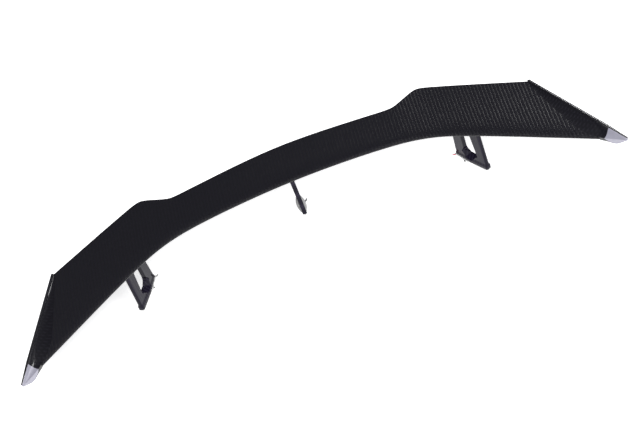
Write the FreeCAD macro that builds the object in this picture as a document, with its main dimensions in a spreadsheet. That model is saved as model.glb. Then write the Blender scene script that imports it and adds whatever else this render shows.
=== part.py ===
"""Racing rear wing: a hollow carbon main plane with flared end plates on three bolted stands.

Millimetres, +X right, -Y towards the front of the car, +Z up. The origin is the centre of the
face that the centre stand rests on. Names ending in _x are distances from the symmetry plane.
"""
import FreeCAD, Part
import math
import os
import Sketcher

# Driving dimensions: name, value, what it is.
DIMENSIONS = [
    ("nose_y", -24, "nose of the wing on the symmetry plane"),
    ("nose_z", 120, "height of the nose on the symmetry plane"),
    ("nose_bow", 300, "length over which the middle of the nose bows"),
    ("nose_sweep_inner", 0.142, "forward sweep of the nose near the middle, per mm of span"),
    ("nose_sweep_outer", 0.598, "forward sweep of the nose outside its bend"),
    ("nose_bend_x", 405, "where the nose bends forward"),
    ("nose_bend_width", 42, "how gently the nose bends"),
    ("nose_droop_inner", 0.01, "fall of the nose near the middle, per mm of span"),
    ("nose_droop_outer", 0.072, "fall of the nose outside the droop bend"),
    ("nose_droop_x", 330, "where the nose starts to droop"),
    ("tail_y", 117, "trailing edge on the symmetry plane"),
    ("tail_z", 131, "height of the trailing edge on the symmetry plane"),
    ("tail_bow", 134, "length over which the middle of the trailing edge bows"),
    ("tail_sweep_inner", 0.155, "forward sweep of the trailing edge near the middle"),
    ("tail_sweep_outer", 0.49, "forward sweep of the trailing edge outside the step"),
    ("tail_rise_inner", 0.018, "rise of the trailing edge near the middle, per mm of span"),
    ("tail_fall_outer", 0.045, "fall of the trailing edge outside the step"),
    ("step_inner_x", 340, "inner end of the step in the trailing edge"),
    ("step_outer_x", 423, "outer end of the step in the trailing edge"),
    ("step_slope", 0.53, "rearward slope of the step"),
    ("step_round", 9, "rounding of both ends of the step"),
    ("corner_x", 712, "rear outer corner of the wing"),
    ("nose_end_x", 805, "front outer corner of the wing"),
    ("section_thickness", 21, "greatest thickness of the wing section"),
    ("section_camber", 5, "how far the section sags below its chord line"),
    ("tail_thickness", 5, "thickness of the trailing edge"),
    ("nose_lip", 1.6, "upright lip of each skin along the nose"),
    ("fan_round", 40, "how gently the sections start to fan out towards the tips"),
    ("skin_thickness", 2.5, "wall of the upper and lower skins"),
    ("bond_gap", 0.2, "glue line between bonded pieces"),
    ("core_gap", 0.8, "adhesive above and below the pieces in the wing's cavity"),
    ("plate_reach", 358, "length of an end plate along its foot"),
    ("plate_rear_rise", 4, "height of an end plate above the wing at the rear corner"),
    ("plate_tip_z", 107, "height of the front tip of an end plate"),
    ("plate_chin", 13, "how far an end plate bulges below a straight line ahead of the wing"),
    ("plate_flare_rear", -1, "outward lean of the top edge at the rear"),
    ("plate_flare_front", 36, "outward lean of the top edge at the front tip"),
    ("plate_rim", 7, "width of the top edge of an end plate"),
    ("cap_top_along", 294, "where the tip cap meets the top edge, along the plate"),
    ("cap_low_along", 324, "where the tip cap meets the lower edge, along the plate"),
    ("cap_radius", 30, "radius of the joint between plate and tip cap"),
    ("cap_drop", 27, "height of the joint between plate and tip cap"),
    ("spar_front", 0.56, "front of the spars, as a fraction of the chord"),
    ("spar_rear", 0.64, "rear of the spars, as a fraction of the chord"),
    ("rib_inner_x", 374, "place of the inner ribs"),
    ("rib_outer_x", 702, "place of the tip ribs"),
    ("rib_thickness", 4, "thickness of a rib"),
    ("rib_front", 0.07, "front of the ribs, as a fraction of the chord"),
    ("rib_rear", 0.87, "rear of the ribs, as a fraction of the chord"),
    ("rib_spar_gap", 1, "space between a rib and the end of a spar"),
    ("hardpoint_front", 0.08, "front of the outer hard points, as a fraction of the chord"),
    ("center_hardpoint_front", 0.1, "front of the centre hard point"),
    ("hardpoint_rear", 0.54, "rear of the hard points"),
    ("hardpoint_half", 34, "half the width of an outer hard point"),
    ("center_hardpoint_half", 22, "half the width of the centre hard point"),
    ("stand_x", 498, "middle of an outer stand"),
    ("stand_y", -65, "middle of an outer stand, front to back"),
    ("stand_z", -34, "face that an outer stand rests on"),
    ("stand_angle", 30, "how far an outer stand turns outboard towards its front"),
    ("blade_thickness", 13, "thickness of all three stands"),
    ("outer_foot_width", 18, "width of an outer foot"),
    ("center_foot_width", 28, "width of the centre foot"),
    ("outer_foot_front", 60, "blunt front end of an outer foot, along its blade"),
    ("outer_foot_rear", -61, "rear end of an outer foot"),
    ("outer_foot_tail", 6, "width of an outer foot at its rear end"),
    ("shoulder", -20, "where outer feet and blades start to narrow rearwards"),
    ("blade_tail", 4, "thickness of an outer blade at its rear edge"),
    ("foot_nose_radius", 5.5, "rounding of an outer foot's front corners"),
    ("center_foot_length", 94, "length of the centre foot"),
    ("foot_rim", 6, "upright edge of an outer foot"),
    ("skirt_height", 10, "height over which a foot narrows to its blade"),
    ("skirt_inset", 2.7, "how much the foot shrinks all round over that height"),
    ("pad_thickness", 3, "foam and rubber under the feet"),
    ("tape_margin", 2, "how far the foam tape shows around an outer foot"),
    ("liner_thickness", 0.3, "peel-off film under the foam"),
    ("gasket_thickness", 2, "rubber between stand and wing"),
    ("leg_rear_low", -60, "rear edge of an outer stand at its foot, along its blade"),
    ("leg_rear_high", -50, "that edge at the blank's top"),
    ("leg_front_low", 59, "front edge of an outer stand at its foot"),
    ("leg_front_high", 52, "that edge at the blank's top"),
    ("window_rear", -18.5, "rear side of the window in an outer stand"),
    ("window_sill", 30, "bottom of the window, above the foot's underside"),
    ("window_front", 28.5, "front side of the window, low down"),
    ("window_front_high", 19.5, "front side of the window at its top"),
    ("window_top", 82, "top of the window, above the origin"),
    ("window_radius", 5, "rounding of the window's corners"),
    ("sill_rise", 20, "height of the window's rounded rear corner"),
    ("scoop_top", 60, "height where the scoop starts to cut into the window's sides"),
    ("scoop_reach", 11, "where the scoop's mouth is, inboard of the blade's middle"),
    ("front_edge_radius", 6.3, "rounding of an outer blade's front edge"),
    ("edge_radius", 4, "rounding of the other upright edges"),
    ("center_foot_rear", -43, "rear edge of the centre blade at its foot"),
    ("center_foot_front", 46, "front edge of the centre blade at its foot"),
    ("center_top_rear", -49, "rear edge of the centre blade at the blank's top"),
    ("center_top_front", 13, "front edge of the centre blade at the blank's top"),
    ("blank_top", 140, "height at which every stand's blank ends before it is cut to the wing"),
    ("tape_end", -9, "front end of the foam tape, along an outer stand"),
    ("outer_tab_reach", 10, "how far an outer liner's tab reaches from the stand's centre line"),
    ("center_tab_reach", 19, "how far the centre liner's tab reaches from the centre line"),
    ("outer_tab_rear", -66, "rear edge of a liner tab, along an outer stand"),
    ("outer_tab_front", -61, "front edge of that tab"),
    ("center_tab_rear", -8, "rear edge of the centre liner's tab"),
    ("center_tab_front", -3, "front edge of that tab"),
    ("thread_radius", 3, "M6 studs and screws"),
    ("root_radius", 4, "thicker root of a deck stud, moulded into its foot"),
    ("root_clearance", 4.3, "hole through pad and film around that root"),
    ("clearance_radius", 3.3, "hole that an M6 thread passes through"),
    ("screw_head_radius", 5, "socket head of an M6 screw"),
    ("screw_head_height", 6, "height of that head"),
    ("hex_radius", 2.9, "corner radius of the hexagon socket"),
    ("outer_screw_length", 30, "screws in the outer stands"),
    ("outer_screw_rear", -5, "rear screw of an outer stand, along its blade"),
    ("outer_screw_front", 9.5, "front screw of an outer stand"),
    ("center_screw_length", 106, "screws that run up through the centre stand"),
    ("center_screw_rear", -30, "rear screw of the centre stand"),
    ("center_screw_front", 4, "front screw of the centre stand"),
    ("counterbore_depth", 8, "recess for those screws in the centre foot"),
    ("stud_length", 20, "how far a deck stud stands out below its foot"),
    ("stud_bite", 12, "how deep a deck stud is set in its foot"),
    ("outer_stud", -36, "deck stud of an outer stand, along its blade"),
    ("center_stud", -11, "deck stud of the centre stand"),
]

SIDES = {"left": -1, "right": 1}
# Above 1, the bulge under an end plate's front is deepest ahead of its middle.
CHIN_LEAD = 1.5

doc = FreeCAD.newDocument("rear_wing")
sheet = doc.addObject("Spreadsheet::Sheet", "Dimensions")
parts = []


def fill_sheet():
    for row, (name, value, meaning) in enumerate(DIMENSIONS, start=1):
        sheet.set(f"A{row}", name)
        sheet.set(f"B{row}", str(value))
        sheet.set(f"C{row}", meaning)
        sheet.setAlias(f"B{row}", name)
    doc.recompute()


def size(name):
    return float(sheet.get(name))


# ---- the wing's surfaces ---------------------------------------------------------------------

def soft_ramp(distance, width):
    """Zero well before a bend, the distance itself well after it, and round between them."""
    if distance > 30 * width:
        return distance
    return width * math.log1p(math.exp(distance / width))


def bow(span, width):
    """The distance from the symmetry plane, rounded off so that both halves meet smoothly."""
    return math.hypot(span, width) - width


def nose(span):
    inner = size("nose_sweep_inner")
    bend = soft_ramp(abs(span) - size("nose_bend_x"), size("nose_bend_width"))
    sweep = inner * bow(span, size("nose_bow")) + (size("nose_sweep_outer") - inner) * bend
    fall = size("nose_droop_inner") * bow(span, size("nose_bow"))
    droop = size("nose_droop_outer") - size("nose_droop_inner")
    fall += droop * soft_ramp(abs(span) - size("nose_droop_x"), size("nose_bend_width"))
    return FreeCAD.Vector(span, size("nose_y") - sweep, size("nose_z") - fall)


def tail(span):
    distance = abs(span)
    inner = size("tail_sweep_inner")
    step_in = soft_ramp(distance - size("step_inner_x"), size("step_round"))
    step_out = soft_ramp(distance - size("step_outer_x"), size("step_round"))
    y = size("tail_y") - inner * bow(span, size("tail_bow"))
    y += (inner + size("step_slope")) * step_in
    y -= (size("step_slope") + size("tail_sweep_outer")) * step_out
    rise = size("tail_rise_inner")
    z = size("tail_z") + rise * bow(span, size("tail_bow"))
    outside = soft_ramp(distance - size("step_outer_x"), 8 * size("step_round"))
    z -= (rise + size("tail_fall_outer")) * outside
    return FreeCAD.Vector(span, y, z)


def nose_partner(span):
    """The nose point of the section whose tail is at span: sections fan out towards the tips."""
    start = size("step_outer_x")
    fan = (size("nose_end_x") - size("corner_x")) / (size("corner_x") - start)
    return math.copysign(abs(span) + fan * soft_ramp(abs(span) - start, size("fan_round")), span)


def half_thickness(chord):
    """Half the height of the section, with its blunt trailing edge."""
    shape = 0.2969 * math.sqrt(chord) - 0.1260 * chord - 0.3516 * chord**2
    shape += 0.2843 * chord**3 - 0.1036 * chord**4
    return 5 * size("section_thickness") * shape + size("tail_thickness") / 2 * chord**2


def wing_point(span, chord, rise):
    """A point of the section at span: chord is 0 at the nose and 1 at the tail."""
    front = nose(nose_partner(span))
    point = front + (tail(span) - front) * chord
    point.z += rise - 4 * size("section_camber") * chord * (1 - chord)
    return point


def stations():
    """Section places from tip to tip, closer together where the trailing edge steps."""
    half = [size("step_inner_x") * k / 7 for k in range(1, 7)]
    for bend in (size("step_inner_x"), size("step_outer_x")):
        half += [bend + size("step_round") * k for k in (-4, -2, -0.8, 0, 0.8, 2, 4)]
    outer = size("corner_x") - size("step_outer_x")
    half += [size("step_outer_x") + outer * k / 8 for k in range(2, 9)]
    return [-x for x in reversed(half)] + [0.0] + half


def outer_grid(side):
    """Rows of points over the outside of one skin: side is +1 for the top and -1 below."""
    chords = [(1 - math.cos(math.pi * k / 13)) / 2 for k in range(1, 14)]
    rows = []
    for span in stations():
        row = [wing_point(span, 0, 0), wing_point(span, 0, side * size("nose_lip"))]
        row += [wing_point(span, chord, side * half_thickness(chord)) for chord in chords]
        rows.append(row)
    return rows


def cavity(chord):
    return half_thickness(chord) - size("skin_thickness")


def inner_grid(side):
    """The inside of one skin: flat lands at nose and tail, where the skins are glued together."""
    nose_land = [0, 0.012, 0.024, 0.036]
    hollow = [0.06, 0.11, 0.18, 0.27, 0.38, 0.5, 0.62, 0.74, 0.83, 0.88]
    tail_land = [0.925, 0.95, 0.975, 1.0]
    rows = []
    for span in stations():
        row = [wing_point(span, chord, 0) for chord in nose_land]
        row += [wing_point(span, chord, side * cavity(chord)) for chord in hollow]
        row += [wing_point(span, chord, 0) for chord in tail_land]
        rows.append(row)
    return rows


# ---- smooth solids from rows of points -------------------------------------------------------

def clamped_knots(count, degree):
    spans = count - degree
    return list(range(spans + 1)), [degree + 1] + [1] * (spans - 1) + [degree + 1]


def smooth_face(grid):
    along = min(3, len(grid) - 1)
    across = min(3, len(grid[0]) - 1)
    knots_along, counts_along = clamped_knots(len(grid), along)
    knots_across, counts_across = clamped_knots(len(grid[0]), across)
    surface = Part.BSplineSurface()
    surface.buildFromPolesMultsKnots(
        grid, counts_along, counts_across, knots_along, knots_across, False, False, along, across
    )
    return surface.toShape()


def smooth_edge(points):
    degree = min(3, len(points) - 1)
    knots, counts = clamped_knots(len(points), degree)
    curve = Part.BSplineCurve()
    curve.buildFromPolesMultsKnots(points, counts, knots, False, degree)
    return curve.toShape()


def smooth_solid(strips):
    """A solid wrapped in strips that share their edges, with a flat cap at each end."""
    faces = [smooth_face(strip) for strip in strips]
    for end in (0, -1):
        faces.append(Part.Face(Part.Wire([smooth_edge(strip[end]) for strip in strips])))
    shell = Part.makeShell(faces)
    shell.sewShape()
    solid = Part.Solid(shell)
    if solid.Volume < 0:
        solid.reverse()
    return solid


def bridge(first, second):
    """The strip between the last points of one grid's rows and the first of another's."""
    return [[a[-1], b[0]] for a, b in zip(first, second)]


def backwards(grid):
    return [list(reversed(row)) for row in grid]


def lifted(grid, height):
    return [[point + FreeCAD.Vector(0, 0, height) for point in row] for row in grid]


def layer_on(grid, low, high):
    """The slab between two copies of a grid, low and high above it."""
    floor = backwards(lifted(grid, low))
    roof = lifted(grid, high)
    return smooth_solid([roof, bridge(roof, floor), floor, bridge(floor, roof)])


def skin(side):
    outside = outer_grid(side)
    inside = backwards(inner_grid(side))
    return smooth_solid([outside, bridge(outside, inside), inside])


def core(span_from, span_to, chord_from, chord_to):
    """A block that fills the cavity between two sections and two chord fractions."""
    steps = max(4, round(abs(span_to - span_from) / 12))
    spans = [span_from + (span_to - span_from) * k / steps for k in range(steps + 1)]
    chords = [chord_from + (chord_to - chord_from) * k / 8 for k in range(9)]
    gap = size("core_gap")
    roof = [[wing_point(s, c, cavity(c) - gap) for c in chords] for s in spans]
    floor = [[wing_point(s, c, gap - cavity(c)) for c in reversed(chords)] for s in spans]
    return smooth_solid([roof, bridge(roof, floor), floor, bridge(floor, roof)])


# ---- the document's objects ------------------------------------------------------------------

def freeform(name, shape):
    feature = doc.addObject("Part::Feature", name)
    feature.Shape = shape
    feature.Placement = FreeCAD.Placement()
    return keep(feature, name)


def keep(feature, name):
    feature.Label = name
    parts.append(feature)
    return feature


def pin(x, y, z_from, z_to, radius):
    return Part.makeCylinder(radius, z_to - z_from, FreeCAD.Vector(x, y, z_from))


def along_stand(side, distance):
    """Where a point of an outer stand's centre line is, seen from above."""
    angle = math.radians(size("stand_angle"))
    x = side * (size("stand_x") + distance * math.sin(angle))
    return x, size("stand_y") - distance * math.cos(angle)


def screw_places(where):
    """Where a stand's two screws are, seen from above."""
    if where == "center":
        return [(0, -size(f"center_screw_{end}")) for end in ("rear", "front")]
    return [along_stand(SIDES[where], size(f"outer_screw_{end}")) for end in ("rear", "front")]


def drill(shape, where, radius):
    for x, y in screw_places(where):
        shape = shape.cut(pin(x, y, 0, 2 * size("tail_z"), radius))
    return shape


def make_skins():
    freeform("upper_skin", skin(+1))
    shell = skin(-1)
    for where in STANDS:
        shell = drill(shell, where, size("clearance_radius"))
    freeform("lower_skin", shell)


def make_cores():
    front = size("spar_front")
    rear = size("spar_rear")
    thick = size("rib_thickness")
    inner = size("rib_inner_x")
    outer = size("rib_outer_x")
    gap = size("rib_spar_gap")
    rib_front = size("rib_front")
    rib_rear = size("rib_rear")
    freeform("center_spar", core(gap - inner, inner - gap, front, rear))
    for side, sign in SIDES.items():
        inner_end = sign * (inner + thick + gap)
        freeform(f"{side}_spar", core(inner_end, sign * (outer - gap), front, rear))
        for name, place in (("inner_rib", inner), ("tip_rib", outer)):
            rib = core(sign * place, sign * (place + thick), rib_front, rib_rear)
            freeform(f"{side}_{name}", rib)


def make_hardpoints():
    front = size("hardpoint_front")
    rear = size("hardpoint_rear")
    middle = size("stand_x")
    half = size("hardpoint_half")
    for side, sign in SIDES.items():
        block = core(sign * (middle - half), sign * (middle + half), front, rear)
        freeform(f"{side}_hardpoint", drill(block, side, size("thread_radius")))
    half = size("center_hardpoint_half")
    block = core(-half, half, size("center_hardpoint_front"), rear)
    freeform("center_hardpoint", drill(block, "center", size("thread_radius")))


# ---- end plates ------------------------------------------------------------------------------

class PlateFrame:
    """Places on the right end plate: along its foot from the rear corner, outward from it, up."""

    def __init__(self):
        self.start = tail(size("corner_x"))
        foot = nose(size("nose_end_x")) - self.start
        foot.z = 0
        self.foot_length = foot.Length
        self.forward = foot.normalize()
        self.outward = FreeCAD.Vector(-self.forward.y, self.forward.x, 0)

    def point(self, along, outward, z):
        spot = self.start + self.forward * along + self.outward * outward
        return FreeCAD.Vector(spot.x, spot.y, z)


def plate_section(frame, along):
    """Where the plate's section turns: inner foot, inner top, outer top and outer foot."""
    past_nose = max(0.0, along - frame.foot_length) / (size("plate_reach") - frame.foot_length)
    chord = max(0.0, 1 - along / frame.foot_length)
    tip_z = size("plate_tip_z")
    foot = wing_point(size("corner_x"), chord, 0).z
    half = max(half_thickness(chord), 5.0)
    rear_top = wing_point(size("corner_x"), 1, half_thickness(1)).z + size("plate_rear_rise")
    progress = along / size("plate_reach")
    flare = size("plate_flare_rear") * (1 - progress) + size("plate_flare_front") * progress
    inner_foot = size("bond_gap") + past_nose * (flare - 1.5)
    top = rear_top + (tip_z - rear_top) * progress
    high = (foot + half) * (1 - past_nose) + (tip_z - 6) * past_nose
    low = (foot - half) * (1 - past_nose) + (tip_z - 9) * past_nose
    low -= size("plate_chin") * math.sin(math.pi * past_nose**CHIN_LEAD) ** 2
    outer_foot = inner_foot + (0.35 * flare + 5) * (1 - past_nose) + 2.5 * past_nose
    rim = size("plate_rim") * (1 - 0.5 * past_nose)
    return inner_foot, high, flare, top, flare + rim, outer_foot, low


def plate_strips():
    """The five sides of the right plate, each as rows of points from rear corner to front tip."""
    frame = PlateFrame()
    strips = [[], [], [], [], []]
    foot = frame.foot_length
    beyond = size("plate_reach") - foot
    places = [foot * k / 8 for k in range(8)] + [foot + beyond * k / 6 for k in range(7)]
    for along in places:
        inner_foot, high, flare, top, outer_rim, outer_foot, low = plate_section(frame, along)
        lean = flare - inner_foot
        rise = top - high
        drop = top - low
        inner_root = frame.point(along, inner_foot, high)
        inner_top = frame.point(along, flare, top)
        outer_top = frame.point(along, outer_rim, top - 0.5)
        outer_root = frame.point(along, outer_foot, low)
        inner_low = frame.point(along, inner_foot, low)
        hollow_low = frame.point(along, inner_foot + 0.45 * lean, high + 0.05 * rise)
        hollow_high = frame.point(along, inner_foot + 0.85 * lean, high + 0.5 * rise)
        belly_high = frame.point(along, outer_rim - 0.2 * lean, top - 0.35 * drop)
        belly_low = frame.point(along, outer_foot + 0.1 * lean + 1, low + 0.2 * drop)
        strips[0].append([inner_root, hollow_low, hollow_high, inner_top])
        strips[1].append([inner_top, outer_top])
        strips[2].append([outer_top, belly_high, belly_low, outer_root])
        strips[3].append([outer_root, inner_low])
        strips[4].append([inner_low, inner_root])
    return strips


def cap_cutter(inset):
    """The region in front of the curved joint between the end plate and its tip cap."""
    frame = PlateFrame()
    radius = size("cap_radius") - inset
    top = FreeCAD.Vector(size("cap_top_along"), 0, size("plate_tip_z"))
    low = FreeCAD.Vector(size("cap_low_along"), 0, size("plate_tip_z") - size("cap_drop"))
    half = (low - top) * 0.5
    ahead = FreeCAD.Vector(-half.z, 0, half.x).normalize()
    reach = math.sqrt(size("cap_radius") ** 2 - half.Length**2)
    centre = top + half + ahead * reach
    wide = 3 * size("plate_flare_front")
    start = FreeCAD.Vector(centre.x, -wide / 2, centre.z)
    column = Part.makeCylinder(radius, 2 * wide, start, FreeCAD.Vector(0, 1, 0))
    tall = 4 * size("cap_radius")
    corner = start - FreeCAD.Vector(0, 0, tall / 2)
    cutter = column.fuse(Part.makeBox(tall, 2 * wide, tall, corner))
    rotation = FreeCAD.Matrix(
        frame.forward.x, frame.outward.x, 0, frame.start.x,
        frame.forward.y, frame.outward.y, 0, frame.start.y,
        0, 0, 1, 0,
    )
    return cutter.transformGeometry(rotation)


def make_end_plates():
    whole = smooth_solid(plate_strips())
    pieces = {
        "endplate": whole.cut(cap_cutter(0)),
        "tip_cap": whole.common(cap_cutter(size("bond_gap"))),
    }
    for side in SIDES:
        for name, shape in pieces.items():
            if side == "left":
                shape = shape.mirror(FreeCAD.Vector(0, 0, 0), FreeCAD.Vector(1, 0, 0))
            freeform(f"{side}_{name}", shape)


# ---- bodies made from sketches ---------------------------------------------------------------

def new_body(name, where):
    """An empty body whose own X runs forward along the stand and whose floor it rests on."""
    body = doc.addObject("PartDesign::Body", name)
    body.AllowCompound = True
    turn = {"center": -90, "right": size("stand_angle") - 90, "left": -90 - size("stand_angle")}
    body.Placement.Rotation = FreeCAD.Rotation(FreeCAD.Vector(0, 0, 1), turn[where])
    if where != "center":
        body.setExpression(".Placement.Base.x", f"{SIDES[where]} * Dimensions.stand_x")
        body.setExpression(".Placement.Base.y", "Dimensions.stand_y")
        body.setExpression(".Placement.Base.z", "Dimensions.stand_z")
    return body


def new_sketch(body, name, role="XY_Plane", height="0"):
    sketch = body.newObject("Sketcher::SketchObject", f"{body.Name}_{name}")
    planes = [feature for feature in body.Origin.OriginFeatures if feature.Role == role]
    sketch.AttachmentSupport = [(planes[0], "")]
    sketch.MapMode = "FlatFace"
    sketch.setExpression(".AttachmentOffset.Base.z", height)
    return sketch


def number(sketch, formula):
    return float(sketch.evalExpression(formula))


def pin_down(sketch, geometry, end, across, up):
    """Hold one end of a line or arc at two formulas of the sheet's dimensions."""
    for kind, formula in (("DistanceX", across), ("DistanceY", up)):
        value = number(sketch, formula)
        row = sketch.addConstraint(Sketcher.Constraint(kind, -1, 1, geometry, end, value))
        sketch.setExpression(f"Constraints[{row}]", formula)


def draw_outline(sketch, corners):
    """A closed outline of straight lines through corners given as pairs of formulas."""
    spots = [FreeCAD.Vector(number(sketch, x), number(sketch, y), 0) for x, y in corners]
    count = len(corners)
    first = sketch.GeometryCount
    for k in range(count):
        sketch.addGeometry(Part.LineSegment(spots[k], spots[(k + 1) % count]))
    for k in range(count):
        following = first + (k + 1) % count
        sketch.addConstraint(Sketcher.Constraint("Coincident", first + k, 2, following, 1))
    for k, (x, y) in enumerate(corners):
        pin_down(sketch, first + k, 1, x, y)


def draw_lens(sketch, length, width):
    """Two equal arcs that meet in points at both ends, as the feet are seen from above."""
    reach = number(sketch, length) / 2
    bulge = number(sketch, width) / 2
    rear = FreeCAD.Vector(-reach, 0, 0)
    front = FreeCAD.Vector(reach, 0, 0)
    radius = f"(({length}) ^ 2 + ({width}) ^ 2) / (4 * ({width}))"
    for way in (-1, 1):
        arc = sketch.addGeometry(Part.Arc(rear, FreeCAD.Vector(0, way * bulge, 0), front))
        starts_rear = sketch.getPoint(arc, 1).x < 0
        rear_end, front_end = (1, 2) if starts_rear else (2, 1)
        pin_down(sketch, arc, rear_end, f"-({length}) / 2", "0")
        pin_down(sketch, arc, front_end, f"({length}) / 2", "0")
        row = sketch.addConstraint(Sketcher.Constraint("Radius", arc, number(sketch, radius)))
        sketch.setExpression(f"Constraints[{row}]", radius)


def draw_circle(sketch, across, radius):
    centre = FreeCAD.Vector(number(sketch, across), 0, 0)
    circle = sketch.addGeometry(Part.Circle(centre, FreeCAD.Vector(0, 0, 1), number(sketch, radius)))
    pin_down(sketch, circle, 3, across, "0")
    row = sketch.addConstraint(Sketcher.Constraint("Radius", circle, number(sketch, radius)))
    sketch.setExpression(f"Constraints[{row}]", radius)


def pad(body, sketch, length, both_ways=False):
    feature = body.newObject("PartDesign::Pad", f"{sketch.Name}_pad")
    feature.Profile = sketch
    feature.setExpression("Length", length)
    if both_ways:
        feature.SideType = "Symmetric"
    body.Tip = feature
    doc.recompute()
    return feature


def loft(body, sketches, cut=False):
    """A solid, or a hole, with straight sides between two outlines."""
    kind = "PartDesign::SubtractiveLoft" if cut else "PartDesign::AdditiveLoft"
    feature = body.newObject(kind, f"{sketches[0].Name}_loft")
    feature.Profile = sketches[0]
    feature.Sections = sketches[1:]
    feature.Ruled = False
    body.Tip = feature
    doc.recompute()


def cut_away(body, sketch, length, both_ways=False):
    """A pocket that goes up from its sketch, or both ways through a blade."""
    feature = body.newObject("PartDesign::Pocket", f"{sketch.Name}_pocket")
    feature.Profile = sketch
    feature.setExpression("Length", length)
    feature.Reversed = True
    if both_ways:
        feature.SideType = "Symmetric"
    before = body.Shape.Volume
    body.Tip = feature
    doc.recompute()
    if body.Shape.Volume >= before:
        raise RuntimeError(f"{feature.Name} cuts nothing")
    return feature


def round_edges(body, radius, is_wanted):
    base = body.Tip
    names = [f"Edge{k}" for k, edge in enumerate(base.Shape.Edges, start=1) if is_wanted(edge)]
    feature = body.newObject("PartDesign::Fillet", f"{body.Name}_fillet")
    feature.Base = (base, names)
    feature.setExpression("Radius", radius)
    body.Tip = feature
    doc.recompute()
    return feature


def drill_row(body, name, places, radius, height, depth):
    sketch = new_sketch(body, name, height=height)
    for place in places:
        draw_circle(sketch, place, radius)
    return cut_away(body, sketch, depth)


def screws_of(kind):
    return [f"Dimensions.{kind}_screw_{end}" for end in ("rear", "front")]


# ---- stands ----------------------------------------------------------------------------------

BASE = "Dimensions.pad_thickness + Dimensions.liner_thickness"
STUD_BITE = "Dimensions.stud_bite"
STANDS = ("left", "center", "right")


def is_upright(edge):
    direction = edge.tangentAt(edge.FirstParameter)
    return abs(direction.y) < 0.01 and abs(direction.z) > 0.5


def is_sideways(edge):
    return abs(edge.tangentAt(edge.FirstParameter).y) > 0.99


def draw_teardrop(sketch, rear, front, tail_half, half):
    """Seen from above: straight sides from the front to the shoulder, then a taper to the rear."""
    shoulder = "Dimensions.shoulder"
    right_side = [(rear, f"-({tail_half})"), (shoulder, f"-({half})"), (front, f"-({half})")]
    left_side = [(front, half), (shoulder, half), (rear, tail_half)]
    draw_outline(sketch, right_side + left_side)


def draw_foot(sketch, margin="0"):
    draw_teardrop(
        sketch,
        f"Dimensions.outer_foot_rear - {margin}",
        f"Dimensions.outer_foot_front + {margin}",
        f"Dimensions.outer_foot_tail / 2 + {margin}",
        f"Dimensions.outer_foot_width / 2 + {margin}",
    )


def plain_blade(body, low, high, front_radius):
    """A flat plate whose outline is given from the side, with rounded upright edges."""
    sketch = new_sketch(body, "blade", "XZ_Plane")
    draw_outline(sketch, low + high)
    pad(body, sketch, "Dimensions.blade_thickness", both_ways=True)
    round_edges(body, front_radius, lambda edge: is_upright(edge) and edge.CenterOfMass.x > 0)


def outer_blade(body):
    """The plate that an outer stand is cut from, which thins out towards its rear edge."""
    top = "Dimensions.blank_top - Dimensions.stand_z"
    low = [("Dimensions.leg_rear_low", BASE), ("Dimensions.leg_front_low", BASE)]
    high = [("Dimensions.leg_front_high", top), ("Dimensions.leg_rear_high", top)]
    plain_blade(body, low, high, "Dimensions.front_edge_radius")
    shoulder = "Dimensions.shoulder"
    rear = "Dimensions.leg_rear_low"
    beyond = f"1.1 * {rear}"
    for name, way in (("right", -1), ("left", 1)):
        half = f"{way} * Dimensions.blade_thickness / 2"
        tail_half = f"{way} * Dimensions.blade_tail / 2"
        wedge = new_sketch(body, f"{name}_wedge", height="0")
        far = [(beyond, tail_half), (beyond, f"2 * {half}")]
        draw_outline(wedge, [(shoulder, half), (rear, tail_half)] + far)
        cut_away(body, wedge, top)


def center_blade(body):
    """The plain plate of the middle stand, which leans rearwards."""
    top = "Dimensions.blank_top"
    low = [("Dimensions.center_foot_rear", BASE), ("Dimensions.center_foot_front", BASE)]
    high = [("Dimensions.center_top_front", top), ("Dimensions.center_top_rear", top)]
    plain_blade(body, low, high, "Dimensions.edge_radius")

    def is_rear_edge(edge):
        return is_upright(edge) and edge.CenterOfMass.x < 0

    round_edges(body, "Dimensions.edge_radius", is_rear_edge)


def outer_stand_body(where):
    """A framed stand: two legs on a flared foot, around one window that opens downwards inboard."""
    body = new_body(f"{where}_stand_blank", where)
    outer_blade(body)
    foot = new_sketch(body, "foot", height=BASE)
    draw_foot(foot)
    pad(body, foot, "Dimensions.foot_rim")
    skirt_low = new_sketch(body, "skirt_low", height=f"{BASE} + Dimensions.foot_rim")
    draw_foot(skirt_low)
    top = f"{BASE} + Dimensions.foot_rim + Dimensions.skirt_height"
    skirt_high = new_sketch(body, "skirt_high", height=top)
    draw_foot(skirt_high, "-Dimensions.skirt_inset")
    loft(body, [skirt_low, skirt_high])
    round_edges(body, "Dimensions.foot_nose_radius", is_foot_nose)
    add_window(body)
    add_scoop(body, where)
    bar = "Dimensions.window_top - Dimensions.stand_z - 5"
    top = "Dimensions.blank_top - Dimensions.stand_z"
    drill_row(body, "screws", screws_of("outer"), "Dimensions.clearance_radius", bar, top)
    drill_row(body, "stud", ["Dimensions.outer_stud"], "Dimensions.root_radius", BASE, STUD_BITE)
    return body


def is_foot_nose(edge):
    """The upright edges at an outer foot's front corners, which stand outside the blade."""
    middle = edge.CenterOfMass
    outside = abs(middle.y) > size("blade_thickness") / 2 + 0.5
    leans_little = abs(edge.tangentAt(edge.FirstParameter).z) > 0.9
    return outside and leans_little and middle.x > size("outer_foot_front") - 6


def window_low_side():
    """The window's outline below the scoop's top, from its rear side round to its front side."""
    rear = "Dimensions.window_rear"
    sill = "Dimensions.window_sill"
    front = "Dimensions.window_front"
    rise = "Dimensions.sill_rise"
    steep = [(rear, f"{sill} + {rise}"), (f"{rear} + 4.5", f"{sill} + {rise} / 2")]
    shallow = [(f"{rear} + 16", f"{sill} + 1"), (f"{front} - 5", sill)]
    return steep + shallow + [(front, f"{sill} + 6")]


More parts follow.
